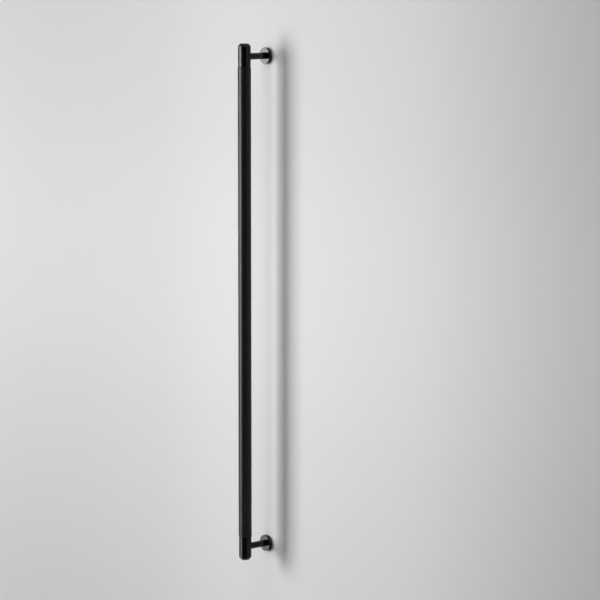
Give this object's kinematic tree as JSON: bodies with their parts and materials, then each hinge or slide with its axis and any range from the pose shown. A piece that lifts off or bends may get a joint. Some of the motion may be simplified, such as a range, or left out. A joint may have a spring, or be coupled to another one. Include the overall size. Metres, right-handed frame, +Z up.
{
  "type": "cabinet handle",
  "caption": "Long straight round bar handle for a cabinet door, with a slightly thicker textured grip, turned end sections, and round posts that stand on flat rosettes.",
  "frame": {"origin": "on the door's face, half way between the fixing centres", "axes": "+Z up, along the bar; +Y into the door, the way the fixing screws leave, so the bar stands off the door towards -Y; +X to the right as seen from in front of the door"},
  "size_m": [0.02, 0.042, 0.631],
  "materials": {
    "grip_coat": "satin black coat over a fine rolled pattern",
    "end_coat": "smooth black coat, semi-gloss",
    "post_coat": "smooth black coat, semi-gloss",
    "rosette_coat": "smooth black coat, semi-gloss",
    "screw_steel": "bright zinc plate"
  },
  "bodies": {
    "root": {"grip": "grip_coat", "upper_end_section": "end_coat", "lower_end_section": "end_coat", "upper_joining_screw": "screw_steel", "lower_joining_screw": "screw_steel", "upper_post": "post_coat", "lower_post": "post_coat", "upper_rosette": "rosette_coat", "lower_rosette": "rosette_coat"}
  },
  "joints": []
}
